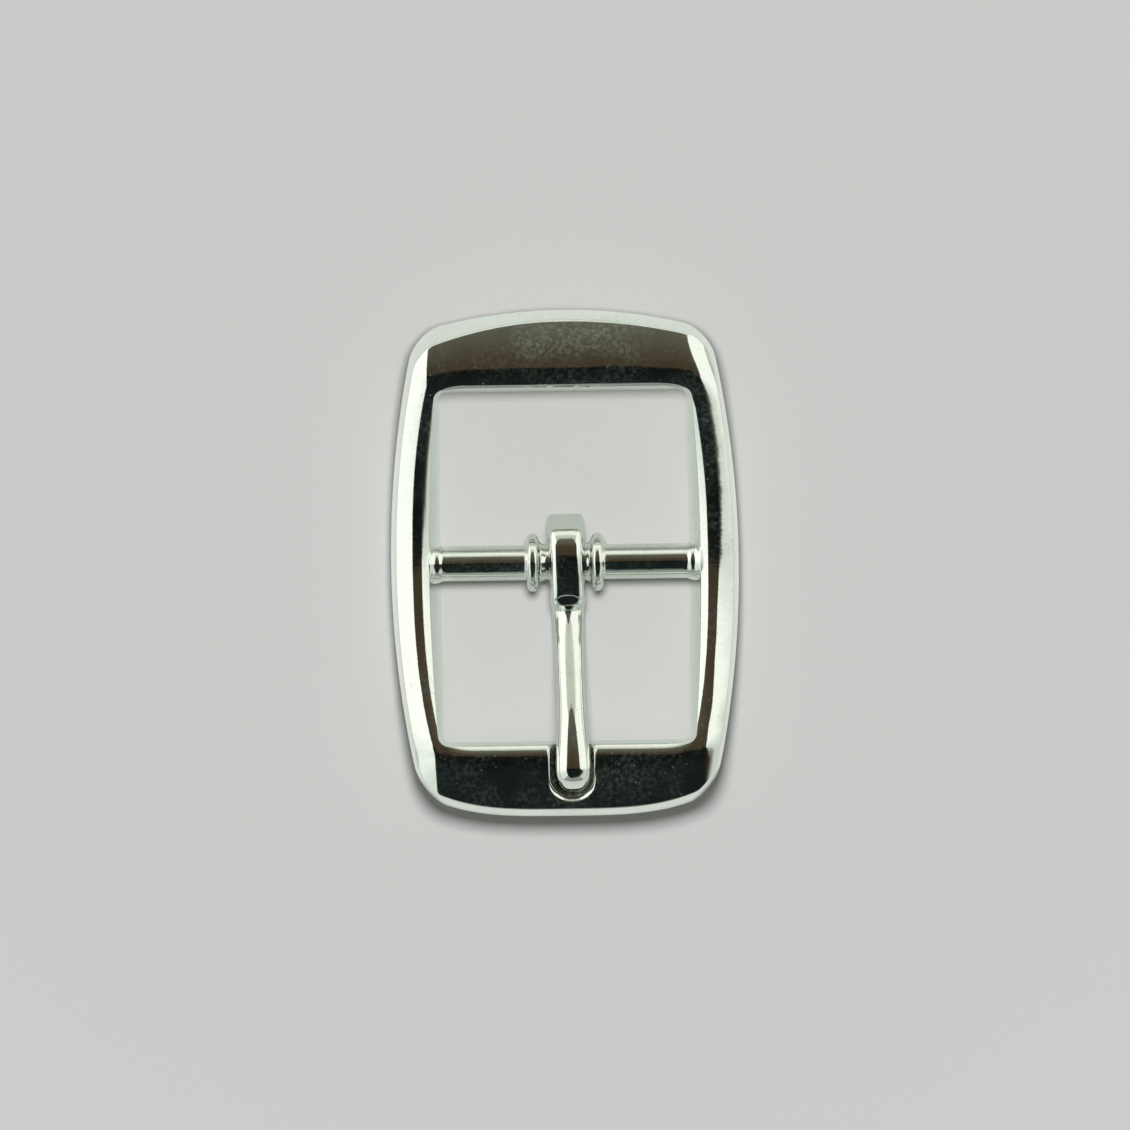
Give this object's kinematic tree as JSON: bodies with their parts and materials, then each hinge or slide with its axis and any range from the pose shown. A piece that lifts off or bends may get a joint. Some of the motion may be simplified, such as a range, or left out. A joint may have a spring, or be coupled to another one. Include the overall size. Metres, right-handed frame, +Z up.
{
  "type": "centre-bar strap buckle",
  "caption": "Cast metal strap buckle with bowed sides, a centre bar with two collars, and a swan-neck tongue that lies in a notch in the end rail.",
  "frame": {"origin": "on the surface that the buckle lies on, under the middle of the frame and of its centre bar", "axes": "+X along the centre bar, +Y along the strap towards the end rail without the notch, +Z up out of the front face"},
  "size_m": [0.0364, 0.053, 0.0091],
  "materials": {
    "bright_nickel": "bright nickel plate on die-cast zinc"
  },
  "bodies": {
    "frame": {"frame": "bright_nickel"},
    "tongue": {"tongue": "bright_nickel"}
  },
  "joints": [
    {"name": "tongue_hinge", "type": "hinge", "parent": "frame", "child": "tongue", "pos_m": [0, 0, 0.0031], "axis": [-1, 0, 0], "range_deg": [0, 150]}
  ]
}
